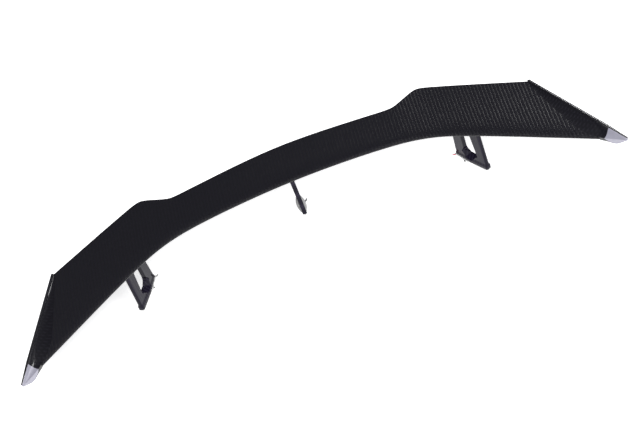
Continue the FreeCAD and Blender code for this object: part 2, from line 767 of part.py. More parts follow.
def add_window(body):
    sketch = new_sketch(body, "window", "XZ_Plane")
    head = "Dimensions.window_top - Dimensions.stand_z"
    ends = [("Dimensions.window_front_high", head), ("Dimensions.window_rear", head)]
    draw_outline(sketch, window_low_side() + ends)
    cut_away(body, sketch, "2 * Dimensions.outer_foot_width", both_ways=True)
    inside = (size("leg_rear_high") + 10, size("leg_front_high") - 10)

    def is_window_corner(edge):
        return is_sideways(edge) and inside[0] < edge.CenterOfMass.x < inside[1]

    round_edges(body, "Dimensions.window_radius", is_window_corner)


def add_scoop(body, where):
    """The window's sill falls inboard and rearward, to a wide low mouth just above the foot's rim."""
    inboard = SIDES[where]
    top = "Dimensions.scoop_top"
    rear = "Dimensions.window_rear"
    front = "Dimensions.window_front - 3"
    outboard_face = f"{-inboard} * (Dimensions.blade_thickness / 2 + 0.5)"
    sill = new_sketch(body, "scoop_sill", "XZ_Plane", outboard_face)
    draw_outline(sill, [(rear, top)] + window_low_side() + [(front, top)])
    mouth = new_sketch(body, "scoop_mouth", "XZ_Plane", f"{inboard} * Dimensions.scoop_reach")
    low = f"{BASE} + Dimensions.foot_rim - 3"
    rear_side = [(rear, f"{top} - 8"), (f"{rear} - 20", "Dimensions.window_sill - 1")]
    floor = [(f"{rear} - 6", f"{low} + 3"), ("0", low)]
    front_side = [("Dimensions.window_front - 1", "Dimensions.window_sill + 8"), (front, top)]
    draw_outline(mouth, [(rear, top)] + rear_side + floor + front_side)
    loft(body, [sill, mouth], cut=True)


def center_stand_body():
    """The plain middle blade, bored along its height for two long screws."""
    body = new_body("center_stand_blank", "center")
    center_blade(body)
    screws = screws_of("center")
    recess = "Dimensions.counterbore_depth"
    drill_row(body, "screws", screws, "Dimensions.clearance_radius", BASE, "Dimensions.blank_top")
    drill_row(body, "heads", screws, "Dimensions.screw_head_radius", BASE, recess)
    drill_row(body, "stud", ["Dimensions.center_stud"], "Dimensions.root_radius", BASE, STUD_BITE)
    return body


def helper(name, shape):
    feature = doc.addObject("Part::Feature", name)
    feature.Shape = shape
    return feature


def make_stands():
    """Cut each blank to the wing's underside, less the gasket that lies between them."""
    underside = outer_grid(-1)
    gasket = size("gasket_thickness")
    above = helper("above_stands", layer_on(underside, -gasket, 60))
    between = helper("gasket_layer", layer_on(underside, -gasket, 0))
    for where in STANDS:
        blank = center_stand_body() if where == "center" else outer_stand_body(where)
        stand = doc.addObject("Part::Cut", f"{where}_stand")
        stand.Base = blank
        stand.Tool = above
        keep(stand, f"{where}_stand")
        rubber = doc.addObject("Part::Common", f"{where}_gasket")
        rubber.Base = gasket_blank(where)
        rubber.Tool = between
        keep(rubber, f"{where}_gasket")


def gasket_blank(where):
    """The stand's blade again, bored for the screws: the gasket is a slice of it."""
    body = new_body(f"{where}_gasket_blank", where)
    kind = "outer"
    length = "Dimensions.blank_top - Dimensions.stand_z"
    if where == "center":
        kind = "center"
        length = "Dimensions.blank_top"
        center_blade(body)
    else:
        outer_blade(body)
    drill_row(body, "screws", screws_of(kind), "Dimensions.clearance_radius", BASE, length)
    return body


# ---- pads, films and fasteners ---------------------------------------------------------------

def foot_layer(name, where, height, thickness, margin="0"):
    """A flat layer with the outline of the foot above it."""
    body = new_body(name, where)
    sketch = new_sketch(body, "outline", height=height)
    if where == "center":
        draw_lens(sketch, "Dimensions.center_foot_length", "Dimensions.center_foot_width")
    else:
        draw_foot(sketch, margin)
    pad(body, sketch, thickness)
    if where != "center":
        round_edges(body, "Dimensions.foot_nose_radius", is_foot_nose)
    return body


def stud_hole(body, where):
    kind = "center" if where == "center" else "outer"
    drill_row(body, "stud", [f"Dimensions.{kind}_stud"], "Dimensions.root_clearance", "0", BASE)


def trim_to(body, keep_rear):
    """Keep only the part of an outer pad that lies behind, or in front of, the tape's end."""
    sketch = new_sketch(body, "trim", height="0")
    edge = "Dimensions.tape_end" if keep_rear else "Dimensions.tape_end + 1"
    far = "2 * Dimensions.outer_foot_front" if keep_rear else "2 * Dimensions.outer_foot_rear"
    wide = "Dimensions.outer_foot_width"
    draw_outline(sketch, [(edge, f"-{wide}"), (far, f"-{wide}"), (far, wide), (edge, wide)])
    cut_away(body, sketch, "2 * Dimensions.pad_thickness")


def add_tab(body, where):
    """The tab that sticks out from under a foot, to pull the film off by."""
    kind = "center" if where == "center" else "outer"
    way = -1 if where == "right" else 1
    rear = f"Dimensions.{kind}_tab_rear"
    front = f"Dimensions.{kind}_tab_front"
    reach = f"{way} * Dimensions.{kind}_tab_reach"
    sketch = new_sketch(body, "tab", height="0")
    draw_outline(sketch, [(rear, "0"), (front, "0"), (front, reach), (rear, reach)])
    pad(body, sketch, "Dimensions.liner_thickness")


def make_foot_pads():
    film = "Dimensions.liner_thickness"
    for where in STANDS:
        margin = "Dimensions.tape_margin"
        tape = foot_layer(f"{where}_foam_tape", where, film, "Dimensions.pad_thickness", margin)
        liner = foot_layer(f"{where}_tape_liner", where, "0", film, margin)
        if where != "center":
            trim_to(tape, keep_rear=True)
            trim_to(liner, keep_rear=True)
            rubber = foot_layer(f"{where}_foot_pad", where, "0", BASE)
            trim_to(rubber, keep_rear=False)
            keep(rubber, f"{where}_foot_pad")
        add_tab(liner, where)
        stud_hole(tape, where)
        stud_hole(liner, where)
        keep(tape, f"{where}_foam_tape")
        keep(liner, f"{where}_tape_liner")


def make_deck_studs():
    for where in STANDS:
        kind = "center" if where == "center" else "outer"
        body = new_body(f"{where}_deck_stud", where)
        root = new_sketch(body, "root", height="0")
        draw_circle(root, f"Dimensions.{kind}_stud", "Dimensions.root_radius")
        pad(body, root, f"{BASE} + {STUD_BITE}")
        rod = new_sketch(body, "rod", height="-Dimensions.stud_length")
        draw_circle(rod, f"Dimensions.{kind}_stud", "Dimensions.thread_radius")
        pad(body, rod, "Dimensions.stud_length")
        keep(body, f"{where}_deck_stud")


def make_screws():
    """Socket-head screws: from the windows of the outer stands, from below in the centre one."""
    for where in STANDS:
        kind = "center" if where == "center" else "outer"
        seat = f"{BASE} + Dimensions.counterbore_depth"
        if kind == "outer":
            seat = "Dimensions.window_top - Dimensions.stand_z"
        bottom = f"{seat} - Dimensions.screw_head_height"
        places = screws_of(kind)
        body = new_body(f"{where}_stand_screws", where)
        heads = new_sketch(body, "heads", height=bottom)
        rods = new_sketch(body, "rods", height=seat)
        sockets = new_sketch(body, "sockets", height=bottom)
        for place in places:
            draw_circle(heads, place, "Dimensions.screw_head_radius")
            draw_circle(rods, place, "Dimensions.thread_radius")
            draw_outline(sockets, hexagon(place))
        pad(body, heads, "Dimensions.screw_head_height")
        pad(body, rods, f"Dimensions.{kind}_screw_length")
        cut_away(body, sockets, "Dimensions.screw_head_height / 2")
        keep(body, f"{where}_stand_screws")


def hexagon(place):
    corners = []
    for k in range(6):
        turn = math.radians(60 * k)
        across = f"{place} + {math.cos(turn):.4f} * Dimensions.hex_radius"
        corners.append((across, f"{math.sin(turn):.4f} * Dimensions.hex_radius"))
    return corners


# ---- output ----------------------------------------------------------------------------------

def check_document():
    for item in doc.Objects:
        if "Invalid" in item.State or "Error" in item.State:
            raise RuntimeError(f"{item.Name} failed: {item.State}")
    for item in parts:
        if item.Shape.isNull() or not item.Shape.isValid():
            raise RuntimeError(f"{item.Label} has a bad shape")


def write_parts():
    os.makedirs("parts", exist_ok=True)
    for item in parts:
        item.Shape.exportStep(f"parts/{item.Label}.step")


fill_sheet()
make_skins()
make_cores()
make_hardpoints()
make_end_plates()
make_stands()
make_foot_pads()
make_deck_studs()
make_screws()
doc.recompute()
check_document()
write_parts()
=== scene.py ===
"""The looks of a carbon rear wing: materials, fine pieces, studio and camera around the CAD frame.

Metres, in the CAD's own frame: +X right, -Y towards the front of the car, +Z up.
"""
import math

import bmesh
import bpy
from mathutils import Matrix, Vector, noise
from mathutils.bvhtree import BVHTree


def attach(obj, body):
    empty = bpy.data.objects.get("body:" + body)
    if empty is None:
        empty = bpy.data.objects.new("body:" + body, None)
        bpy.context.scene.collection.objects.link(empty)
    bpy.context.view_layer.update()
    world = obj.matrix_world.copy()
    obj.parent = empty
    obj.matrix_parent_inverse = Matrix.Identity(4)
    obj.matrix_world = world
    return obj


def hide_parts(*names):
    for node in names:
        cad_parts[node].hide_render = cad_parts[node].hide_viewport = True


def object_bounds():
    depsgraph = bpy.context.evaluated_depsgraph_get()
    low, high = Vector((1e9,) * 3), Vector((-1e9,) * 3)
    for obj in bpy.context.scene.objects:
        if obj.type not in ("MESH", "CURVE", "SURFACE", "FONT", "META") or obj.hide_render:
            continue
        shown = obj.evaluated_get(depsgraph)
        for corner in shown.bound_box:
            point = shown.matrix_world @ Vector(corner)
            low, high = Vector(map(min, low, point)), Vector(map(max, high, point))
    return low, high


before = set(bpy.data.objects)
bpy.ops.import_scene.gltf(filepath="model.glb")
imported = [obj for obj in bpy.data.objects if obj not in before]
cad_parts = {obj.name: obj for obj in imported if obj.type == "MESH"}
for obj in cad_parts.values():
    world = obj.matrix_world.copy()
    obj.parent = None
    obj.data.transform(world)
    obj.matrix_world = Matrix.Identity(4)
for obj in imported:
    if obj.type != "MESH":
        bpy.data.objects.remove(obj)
cad_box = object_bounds()

MM = 0.001
RIGHT = Vector((1, 0, 0))
REAR = Vector((0, 1, 0))
UP = Vector((0, 0, 1))
SIDES = {"left": -1, "right": 1}
STANDS = ("left", "center", "right")

# The stands, as the CAD has them: where they stand, how they turn, and their studs and liner tabs.
STAND_ANGLE = math.radians(30)
STAND_PLACE = {"left": (-0.498, -0.065, -0.034), "center": (0, 0, 0), "right": (0.498, -0.065, -0.034)}
STUD_ALONG = {"left": -36 * MM, "center": -11 * MM, "right": -36 * MM}
STUD_RADIUS = 3 * MM
STUD_LENGTH = 20 * MM
STUD_ROOT_RADIUS = 4 * MM
STUD_ROOT_HEIGHT = 15.3 * MM
TAB_ALONG = {"left": -63.5 * MM, "center": -5.5 * MM, "right": -63.5 * MM}
TAB_REACH = {"left": 10 * MM, "center": 19 * MM, "right": 10 * MM}
TAB_WAY = {"left": 1, "center": 1, "right": -1}

# Where a coloured pull tab starts, beside its stand's centre line.
PULL_TAB_START = {"left": 6 * MM, "center": 13 * MM, "right": 6 * MM}

# The end plates: the wing's rear corner and the line of a plate's foot, as x and y on the right, then
# lengths along that line, and the top edge's height and flare, at the rear corner and at the tip.
PLATE_START = (0.712, -0.01449)
PLATE_FORWARD = (0.32427, -0.94597)
PLATE_FOOT = 286.8 * MM
PLATE_REACH = 358 * MM
PLATE_TOP = (129.84 * MM, 107 * MM)
PLATE_FLARE = (-1 * MM, 36 * MM)
PLATE_RIM = 7 * MM

# The cloth: how wide a tow is, and how far the cloth of the wing's top is turned from the wing's axes.
TOW = 3.4 * MM
RIM_TOW = 2.5 * MM
CLOTH_TURN = math.radians(-5.7)
# The tows' own colour, then a lighter colour painted on the crowns of the tows where the warp lies on
# top: a painted sheen.
DARK_TOW = (0.0035, 0.0033, 0.0052, 1.0)
PAINTED_SHEEN_TOW = (0.010, 0.0095, 0.0135, 1.0)
# The stands' tows: their own colour, then the painted sheen on the crowns of the warp tows.
BLADE_DARK = (0.006, 0.005, 0.011, 1.0)
BLADE_PAINTED_SHEEN = (0.022, 0.019, 0.034, 1.0)

PALE_DIM = (0.25, 0.245, 0.295, 1.0)
PALE_BRIGHT = (0.29, 0.285, 0.34, 1.0)
LINER_WHITE = (0.6, 0.6, 0.58, 1.0)
TAB_RED = (0.85, 0.05, 0.12, 1.0)
TAB_GREY = (0.08, 0.08, 0.09, 1.0)


# ---- places on the object --------------------------------------------------------------------

def mixed(pair, share):
    """A value part of the way between the two of a pair."""
    return pair[0] + (pair[1] - pair[0]) * share


def blade_forward(where):
    """The way that a stand's blade points, seen from above."""
    angle = STAND_ANGLE * SIDES.get(where, 0)
    return Vector((math.sin(angle), -math.cos(angle), 0))


def plate_forward(side):
    """The way that an end plate runs, from its rear corner to its tip."""
    return Vector((SIDES[side] * PLATE_FORWARD[0], PLATE_FORWARD[1], 0))


def on_plate(side, along, outward, z):
    """A point given along an end plate's foot, outward from it, and by its height."""
    x = PLATE_START[0] + along * PLATE_FORWARD[0] - outward * PLATE_FORWARD[1]
    y = PLATE_START[1] + along * PLATE_FORWARD[1] + outward * PLATE_FORWARD[0]
    return Vector((SIDES[side] * x, y, z))


def on_stand(where, along, sideways, z):
    """A point given along a stand's blade, sideways from it, and above the face that it stands on."""
    forward = blade_forward(where)
    side = Vector((-forward.y, forward.x, 0))
    return Vector(STAND_PLACE[where]) + forward * along + side * sideways + UP * z


def surface(node):
    """A CAD node's surface, to find where a line meets it."""
    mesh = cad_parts[node].data
    points = [vertex.co for vertex in mesh.vertices]
    return BVHTree.FromPolygons(points, [tuple(face.vertices) for face in mesh.polygons])


# ---- node materials --------------------------------------------------------------------------

class Look:
    """One node material under construction."""

    def __init__(self, name, **values):
        """Starts with values for the shader's own sockets, named with _ for a space."""
        self.material = bpy.data.materials.new(name)
        self.material.use_nodes = True
        self.tree = self.material.node_tree
        self.shader = self.tree.nodes["Principled BSDF"]
        self.place = self.add("ShaderNodeTexCoord").outputs["Object"]
        self.set(**values)

    def set(self, **values):
        """Gives the shader's own sockets plain values."""
        for socket, value in values.items():
            self.shader.inputs[socket.replace("_", " ")].default_value = value

    def add(self, kind, **settings):
        """A new node with some of its settings."""
        node = self.tree.nodes.new(kind)
        for name, value in settings.items():
            setattr(node, name, value)
        return node

    def feed(self, socket, source):
        """Links another node's output to a socket, or sets the socket to a plain value."""
        if isinstance(source, bpy.types.NodeSocket):
            self.tree.links.new(source, socket)
        else:
            socket.default_value = source

    def paint(self, socket, source):
        """Feeds one of the shader's own sockets."""
        self.feed(self.shader.inputs[socket], source)

    def math(self, operation, first, second=0.0, third=0.0):
        """The result of one sum on numbers or other nodes' outputs."""
        node = self.add("ShaderNodeMath", operation=operation)
        for socket, source in zip(node.inputs, (first, second, third)):
            self.feed(socket, source)
        return node.outputs[0]

    def along(self, direction, unit):
        """How far a point lies along a direction, counted in units."""
        node = self.add("ShaderNodeVectorMath", operation="DOT_PRODUCT")
        self.feed(node.inputs[0], self.place)
        node.inputs[1].default_value = direction / unit
        return node.outputs["Value"]

    def noise(self, scale, detail, vector=None):
        """Smooth noise over the object's coordinates, or over a vector of its own."""
        node = self.add("ShaderNodeTexNoise")
        self.feed(node.inputs["Vector"], vector or self.place)
        node.inputs["Scale"].default_value = scale
        node.inputs["Detail"].default_value = detail
        return node.outputs["Fac"]

    def stretched(self, right, rear, up):
        """The object's coordinates with each axis scaled on its own."""
        node = self.add("ShaderNodeMapping")
        self.feed(node.inputs["Vector"], self.place)
        node.inputs["Scale"].default_value = (right, rear, up)
        return node.outputs["Vector"]

    def vector(self, x, y):
        """A flat vector made of two numbers."""
        node = self.add("ShaderNodeCombineXYZ")
        self.feed(node.inputs["X"], x)
        self.feed(node.inputs["Y"], y)
        return node.outputs[0]

    def blend(self, share, first, second, kind="RGBA"):
        """A colour or a vector between two others."""
        node = self.add("ShaderNodeMix", data_type=kind)
        self.feed(node.inputs["Factor"], share)
        self.feed(node.inputs["A"], first)
        self.feed(node.inputs["B"], second)
        return node.outputs["Result"]

    def between(self, share, low, high):
        """A number between two others."""
        node = self.add("ShaderNodeMapRange")
        self.feed(node.inputs["Value"], share)
        node.inputs["To Min"].default_value = low
        node.inputs["To Max"].default_value = high
        return node.outputs["Result"]

    def bump(self, height, depth):
        """Makes the surface look as rough as a height says, at most a depth in metres."""
        node = self.add("ShaderNodeBump")
        node.inputs["Distance"].default_value = depth
        self.feed(node.inputs["Height"], height)
        self.paint("Normal", node.outputs["Normal"])


def grey(value):
    """An opaque grey."""
    return (value, value, value, 1.0)


def darker(colour, share):
    """A share of a colour's brightness, just as opaque."""
    return [share * part for part in colour[:3]] + [1.0]


def twill(look, across, up, tow):
    """A 2x2 twill with its tows at 45 degrees: which tow is on top, its height, and its fibres."""
    repeat = 4.0
    crown_across = 2.6
    crown_along = 1.35
    fibres_per_tow = 14.0
    weft = look.along((across + up) / math.sqrt(2), tow)
    warp = look.along((up - across) / math.sqrt(2), tow)
    column = look.math("FLOOR", weft)
    row = look.math("FLOOR", warp)

    def float_of(start, end, shift):
        """Distance from the middle of the stretch where a tow shows, from -2 to 2."""
        gap = look.math("SUBTRACT", start, end)
        wrapped = look.math("FLOORED_MODULO", look.math("ADD", gap, shift), repeat)
        return look.math("SUBTRACT", wrapped, repeat / 2)

    warp_float = float_of(column, warp, 2.0)
    weft_float = float_of(weft, row, 3.0)
    warp_on_top = look.math("LESS_THAN", look.math("ABSOLUTE", warp_float), 1.0)

    def pillow(place, stretch):
        """A tow's rounded height, highest on its centre line and in the middle of a stretch."""
        edge = look.math("SUBTRACT", look.math("FRACT", place), 0.5)
        across_tow = look.math("COSINE", look.math("MULTIPLY", edge, crown_across))
        along_tow = look.math("COSINE", look.math("MULTIPLY", stretch, crown_along))
        return look.math("MULTIPLY", across_tow, along_tow)

    def streaks(place, length):
        """Fine fibres that run along a tow."""
        fine = look.math("MULTIPLY", place, fibres_per_tow)
        return look.noise(scale=1.0, detail=1.0, vector=look.vector(fine, length))

    def choose(when_warp, when_weft):
        """One value where the warp is on top, and another where the weft is."""
        difference = look.math("SUBTRACT", when_warp, when_weft)
        return look.math("MULTIPLY_ADD", warp_on_top, difference, when_weft)

    height = choose(pillow(weft, warp_float), pillow(warp, weft_float))
    fibres = choose(streaks(weft, warp), streaks(warp, weft))
    return warp_on_top, height, fibres


def carbon(name, across, up, dark, light, tow=TOW, glossy_tows=False):
    """Clear-coated carbon cloth lying in the plane of two directions.

    Glossy tows catch the light in two ways, each along its own fibres. The crowns of the tows where the
    warp lies on top are painted in the lighter colour: a painted sheen.
    """
    fibre_sheen = (0.75, 1.25)
    fibre_roughness = (0.34, 0.42)
    fibre_height = 0.06
    weave_depth = 0.3 * MM
    look = Look(name, Coat_Weight=1.0, Coat_Roughness=0.03, Coat_IOR=1.33, Specular_IOR_Level=0.3)
    on_top, height, fibres = twill(look, across, up, tow)
    # Painted sheen: the warp tows' crowns get the lighter colour, fading to the darker colour at each
    # tow's edges and on the weft.
    crown = look.math("POWER", look.math("MAXIMUM", height, 0.0), 2.0)
    sheen_mask = look.math("MULTIPLY", crown, look.between(fibres, *fibre_sheen))
    look.paint("Base Color", look.blend(look.math("MULTIPLY", on_top, sheen_mask), dark, light))
    look.paint("Roughness", look.between(fibres, *fibre_roughness))
    look.bump(look.math("MULTIPLY_ADD", fibres, fibre_height, height), weave_depth)
    if glossy_tows:
        look.set(Specular_IOR_Level=0.55, Anisotropic=0.85)
        weft_way = (across + up).normalized()
        warp_way = (up - across).normalized()
        look.paint("Tangent", look.blend(on_top, warp_way, weft_way, kind="VECTOR"))
    return look


def moulded(name, colour, roughness, grain):
    """Rubber or laminate with a fine grain and slightly uneven colour."""
    look = Look(name)
    patches = look.noise(scale=35.0, detail=4.0)
    look.paint("Base Color", look.blend(patches, darker(colour, 0.75), colour))
    look.paint("Roughness", look.between(patches, roughness - 0.08, roughness + 0.08))
    look.bump(look.noise(scale=grain, detail=3.0), 0.1 * MM)
    return look


def metal(name, colour, roughness):
    """Machined metal with fine scratches round it."""
    look = Look(name, Metallic=1.0)
    scratches = look.noise(scale=900.0, detail=2.0, vector=look.stretched(1.0, 1.0, 12.0))
    look.paint("Base Color", look.blend(scratches, darker(colour, 0.6), colour))
    look.paint("Roughness", look.between(scratches, roughness - 0.1, roughness + 0.12))
    look.bump(scratches, 0.02 * MM)
    return look


def foam(name, colour):
    """Closed-cell foam tape, its cell pits painted darker: a painted shade."""
    look = Look(name, Roughness=0.95)
    cells = look.add("ShaderNodeTexVoronoi")
    look.feed(cells.inputs["Vector"], look.place)
    cells.inputs["Scale"].default_value = 1800.0
    depth = cells.outputs["Distance"]
    # Painted shade: the colour darkens into each cell's pit, where the bump sinks it.
    look.paint("Base Color", look.blend(depth, darker(colour, 0.7), colour))
    look.bump(depth, 0.25 * MM)
    return look


def tip_finish(name):
    """The pale satin finish of the tip caps, with a very fine brushed grain."""
    look = Look(name, Metallic=0.1, Coat_Weight=0.2, Coat_Roughness=0.35)
    grain = look.noise(scale=700.0, detail=3.0, vector=look.stretched(1.0, 0.15, 1.0))
    cloud = look.noise(scale=28.0, detail=3.0)
    look.paint("Base Color", look.blend(cloud, PALE_DIM, PALE_BRIGHT))
    look.paint("Roughness", look.between(grain, 0.28, 0.42))
    look.bump(grain, 0.03 * MM)
    return look


def film(name, colour):
    """Thin glossy release film, slightly rippled."""
    look = Look(name, Coat_Weight=0.6, Coat_Roughness=0.1)
    ripples = look.noise(scale=240.0, detail=2.0)
    look.paint("Base Color", look.blend(ripples, darker(colour, 0.8), colour))
    look.paint("Roughness", look.between(ripples, 0.2, 0.4))
    look.bump(ripples, 0.1 * MM)
    return look


# ---- fine pieces -----------------------------------------------------------------------------

def smooth_shading(made, angle=35):
    """Smooth surfaces, with a sharp edge only where faces meet at more than an angle."""
    made.data.shade_smooth()
    made.data.set_sharp_from_angle(angle=math.radians(angle))


def piece(name, rings, look):
    """A closed skin over rings of points, with a flat face over each end."""
    count = len(rings[0])
    points = [point for ring in rings for point in ring]
    faces = []
    for start in range(0, len(points) - count, count):
        for k in range(count):
            following = (k + 1) % count
            faces.append((start + k, start + following, start + count + following, start + count + k))
    faces.append(tuple(range(count - 1, -1, -1)))
    faces.append(tuple(range(len(points) - count, len(points))))
    mesh = bpy.data.meshes.new(name)
    mesh.from_pydata(points, [], faces)
    shape = bmesh.new()
    shape.from_mesh(mesh)
    bmesh.ops.recalc_face_normals(shape, faces=shape.faces)
    shape.to_mesh(mesh)
    shape.free()
    mesh.materials.append(look.material)
    made = bpy.data.objects.new(name, mesh)
    bpy.context.scene.collection.objects.link(made)
    smooth_shading(made)
    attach(made, "root")
    return made


def rim_bead(side, look):
    """The rolled top edge of an end plate: a low crowned bead wrapped in bound tows."""
    step = 0.8 * MM
    overhang = 0.4 * MM
    full_crown = 1.3 * MM
    flatness = 0.6
    wrap_pitch = 5 * MM
    wrap_slant = 0.8
    wrap_height = 0.35 * MM
    outer_drop = 0.5 * MM
    inner_skirt = 0.8 * MM
    outer_skirt = 1.2 * MM
    run_in = 1 / 80
    narrowing = 0.5
    segments = 8
    count = int(PLATE_REACH / step)
    rings = []
    for k in range(count + 1):
        share = k / count
        along = PLATE_REACH * share
        beyond = max(0.0, along - PLATE_FOOT) / (PLATE_REACH - PLATE_FOOT)
        inner = mixed(PLATE_FLARE, share) - overhang
        width = PLATE_RIM * (1 - narrowing * beyond) + 2 * overhang
        top = mixed(PLATE_TOP, share)
        crown = full_crown * math.sqrt(min(1.0, share / run_in, (1 - share) / run_in))
        ring = []
        for j in range(segments + 1):
            across = j / segments
            wrap = math.cos(2 * math.pi * (along / wrap_pitch + wrap_slant * across))
            arch = math.sin(math.pi * across)
            height = crown * arch**flatness + wrap_height * wrap * arch - outer_drop * across
            ring.append(on_plate(side, along, inner + width * across, top + height))
        ring.append(on_plate(side, along, inner + width, top - outer_skirt))
        ring.append(on_plate(side, along, inner, top - inner_skirt))
        rings.append(ring)
    piece(f"{side}_rim_bead", rings, look)


def corner_blend(side, look):
    """The hollow corner where the wing's top runs up into an end plate."""
    span = (0.02, 0.985)
    rearward = (0.49, 0.598)
    reaches = (6 * MM, 40 * MM)
    reach_growth = 0.9
    faded_reach = 1 * MM
    faded_rise = 0.06
    full_rise = 0.62
    fading = 0.16
    inset = 0.5 * MM
    sunk = 0.05 * MM
    thickness = 0.8 * MM
    above_wing = 300 * MM
    inside_plate = 30 * MM
    stations = 60
    segments = 10
    wing = surface("upper_skin")
    plate = surface(f"{side}_endplate")
    outward = Vector((-SIDES[side] * PLATE_FORWARD[1], PLATE_FORWARD[0], 0))
    rings = []
    for k in range(stations + 1):
        share = k / stations
        along = PLATE_FOOT * mixed(span, share)
        inboard = Vector((-SIDES[side], mixed(rearward, share), 0)).normalized()
        foot = on_plate(side, along, 0, 0)
        fade = math.sqrt(min(1.0, (1.0 - share) / fading))
        start = foot + inboard * (faded_reach + mixed(reaches, share**reach_growth) * fade)
        near = foot + inboard * inset
        low = wing.ray_cast(Vector((start.x, start.y, above_wing)), -UP)[0]
        root = wing.ray_cast(Vector((near.x, near.y, above_wing)), -UP)[0]
        rise = mixed(PLATE_TOP, along / PLATE_REACH) - root.z
        level = root.z + mixed((faded_rise, full_rise), fade) * rise
        inside = Vector((near.x, near.y, level)) - outward * inside_plate
        high = plate.ray_cast(inside, outward)[0]
        if low is None or high is None:
            continue
        low = low - UP * sunk
        high = high + outward * sunk
        ring = []
        for j in range(segments + 1):
            t = j / segments
            ring.append(low * (1 - t) ** 2 + root * 2 * t * (1 - t) + high * t**2)
        ring.append(root + (outward - UP) * thickness)
        rings.append(ring)
    piece(f"{side}_corner_blend", rings, look)


def stud_ring(where, z, radii):
    """A ring of points round a stud's axis, one for each radius."""
    ring = []
    for k, radius in enumerate(radii):
        angle = 2 * math.pi * k / len(radii)
        along = STUD_ALONG[where] + radius * math.cos(angle)
        ring.append(on_stand(where, along, radius * math.sin(angle), z))
    return ring


def threaded_stud(where, look):
    """A deck stud: a plain root in the foot and a coarse M6 thread below it."""
    pitch = 1 * MM
    thread_depth = 0.55 * MM
    chamfer = 1.2 * MM
    tip_share = 0.78
    run_out = 0.8 * MM
    root_chamfer = (0.1 * MM, 0.3 * MM)
    around = 28
    per_turn = 8
    rings = []
    for k in range(int(STUD_LENGTH / pitch) * per_turn + 1):
        z = -STUD_LENGTH + k * pitch / per_turn
        tip = tip_share + (1 - tip_share) * min(1.0, (z + STUD_LENGTH) / chamfer)
        depth = thread_depth * min(1.0, -z / run_out)
        radii = []
        for j in range(around):
            phase = (z / pitch - j / around) % 1.0
            radii.append((STUD_RADIUS - depth * abs(2 * phase - 1)) * tip)
        rings.append(stud_ring(where, z, radii))
    rings.append(stud_ring(where, 0.0, [STUD_ROOT_RADIUS - root_chamfer[0]] * around))
    rings.append(stud_ring(where, root_chamfer[1], [STUD_ROOT_RADIUS] * around))
    rings.append(stud_ring(where, STUD_ROOT_HEIGHT, [STUD_ROOT_RADIUS] * around))
    stud = piece(f"{where}_threaded_stud", rings, look)
    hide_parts(f"{where}_deck_stud")


def pull_tab(where, look):
    """The end of the release film, folded back in a coloured tab that curls up a little."""
    half_width = 2.7 * MM
    thickness = 0.9 * MM
    above_floor = 0.32 * MM
    curl = 3 * MM
    curl_growth = 1.5
    askew = 4 * MM
    past_liner = 2.5 * MM
    rounding = 0.15
    narrowing = 0.5
    stations = 12
    ends = (PULL_TAB_START[where], TAB_REACH[where] + past_liner)
    rings = []
    for k in range(stations + 1):
        share = k / stations
        out = TAB_WAY[where] * mixed(ends, share)
        lift = above_floor + curl * math.sin(math.pi / 2 * share) ** curl_growth
        rounded = max(0.0, share - 1 + rounding) / rounding
        half = half_width * (1 - narrowing * rounded**2)
        middle = TAB_ALONG[where] - askew * share
        corners = ((-half, 0), (half, 0), (half, thickness), (-half, thickness))
        rings.append([on_stand(where, middle + along, out, lift + z) for along, z in corners])
    piece(f"{where}_pull_tab", rings, look)


def foam_piece(where, look):
    """The foam tape with a slightly uneven surface in place of its flat one, as cut foam has."""
    cell = 0.55 * MM
    fine_swell = 0.10
    fine_scale = 900
    coarse_swell = 0.12
    coarse_scale = 260
    shrink = 0.12
    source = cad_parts[f"{where}_foam_tape"]
    made = bpy.data.objects.new(f"{where}_foam", source.data.copy())
    bpy.context.scene.collection.objects.link(made)
    remesh = made.modifiers.new("cells", "REMESH")
    remesh.mode = "VOXEL"
    remesh.voxel_size = cell
    evaluated = made.evaluated_get(bpy.context.evaluated_depsgraph_get())
    mesh = bpy.data.meshes.new_from_object(evaluated)
    made.modifiers.clear()
    made.data = mesh
    mesh.materials.clear()
    mesh.materials.append(look.material)
    normals = [vertex.normal.copy() for vertex in mesh.vertices]
    for vertex, normal in zip(mesh.vertices, normals):
        fine = fine_swell * noise.noise(vertex.co * fine_scale)
        coarse = coarse_swell * noise.noise(vertex.co * coarse_scale)
        vertex.co += normal * (fine + coarse - shrink) * MM
    smooth_shading(made, angle=60)
    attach(made, "root")
    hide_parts(f"{where}_foam_tape")


# ---- the object's finish ---------------------------------------------------------------------

def give(nodes, look):
    """Gives CAD nodes a look, in place of the material that they came with."""
    for name in nodes:
        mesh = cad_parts[name].data
        mesh.materials.clear()
        mesh.materials.append(look.material)


def finish_wing():
    """The skins, and the spars, ribs and hard points inside them."""
    turn = Matrix.Rotation(CLOTH_TURN, 3, "Z")
    wing = carbon("wing_carbon", turn @ RIGHT, turn @ REAR, DARK_TOW, PAINTED_SHEEN_TOW, glossy_tows=True)
    give(["upper_skin"], wing)
    satin = carbon("satin_carbon", RIGHT, REAR, DARK_TOW, PAINTED_SHEEN_TOW)
    satin.set(Coat_Weight=0.3, Specular_IOR_Level=0.1)
    give(["lower_skin"], satin)
    laminate = moulded("core_laminate", grey(0.02), roughness=0.6, grain=600.0)
    give([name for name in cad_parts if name.endswith(("spar", "rib"))], laminate)
    give([f"{where}_hardpoint" for where in STANDS], metal("hardpoint_alloy", grey(0.6), roughness=0.4))


def finish_end_plates():
    """The end plates with their rims and corners, and the tip caps."""
    for side in SIDES:
        plate = carbon(f"{side}_plate_carbon", plate_forward(side), UP, DARK_TOW, PAINTED_SHEEN_TOW)
        give([f"{side}_endplate"], plate)
        bound = carbon(f"{side}_rim_carbon", plate_forward(side), UP, DARK_TOW, PAINTED_SHEEN_TOW, tow=RIM_TOW)
        bound.set(Coat_IOR=2.2)
        rim_bead(side, bound)
        corner_blend(side, plate)
    give([f"{side}_tip_cap" for side in SIDES], tip_finish("tip_satin"))


